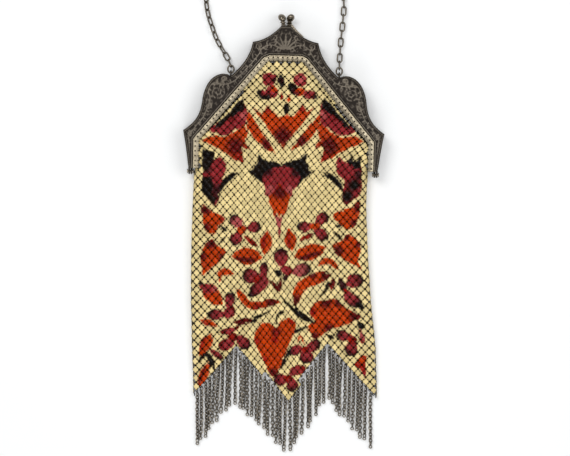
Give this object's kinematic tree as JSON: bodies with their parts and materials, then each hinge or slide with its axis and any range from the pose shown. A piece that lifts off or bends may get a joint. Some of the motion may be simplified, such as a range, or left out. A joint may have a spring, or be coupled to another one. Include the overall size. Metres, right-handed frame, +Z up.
{
  "type": "metal mesh purse",
  "caption": "Flat metal mesh purse with an arched hinged frame, kiss-lock knobs, chain handle, zigzag foot and chain fringe, lying closed on its back.",
  "frame": {"origin": "bottom centre of the whole purse's box, on the surface that it lies on", "axes": "+X right seen from the front, +Y from the fringe to the clasp and handle, +Z up out of the purse's front"},
  "size_m": [0.1128, 0.288, 0.0111],
  "materials": {
    "frame_metal": "satin oxidised, darker in the stamped ground and brighter on the raised lines",
    "rail_metal": "satin, pale worn plating",
    "clasp_metal": "polished, worn",
    "chain_metal": "satin oxidised",
    "enamel_mesh": "glossy enamel on small linked plates, printed with flowers"
  },
  "bodies": {
    "root": {"front_frame": "frame_metal", "back_frame": "frame_metal", "front_rail": "rail_metal", "back_rail": "rail_metal", "hinge_pin_right": "clasp_metal", "hinge_pin_left": "clasp_metal", "front_knob": "clasp_metal", "back_knob": "clasp_metal", "mesh_bag": "enamel_mesh", "chain_fringe": "chain_metal", "handle_chain_left": "chain_metal", "handle_chain_right": "chain_metal", "end_ring_left": "chain_metal", "end_ring_right": "chain_metal"}
  },
  "joints": []
}
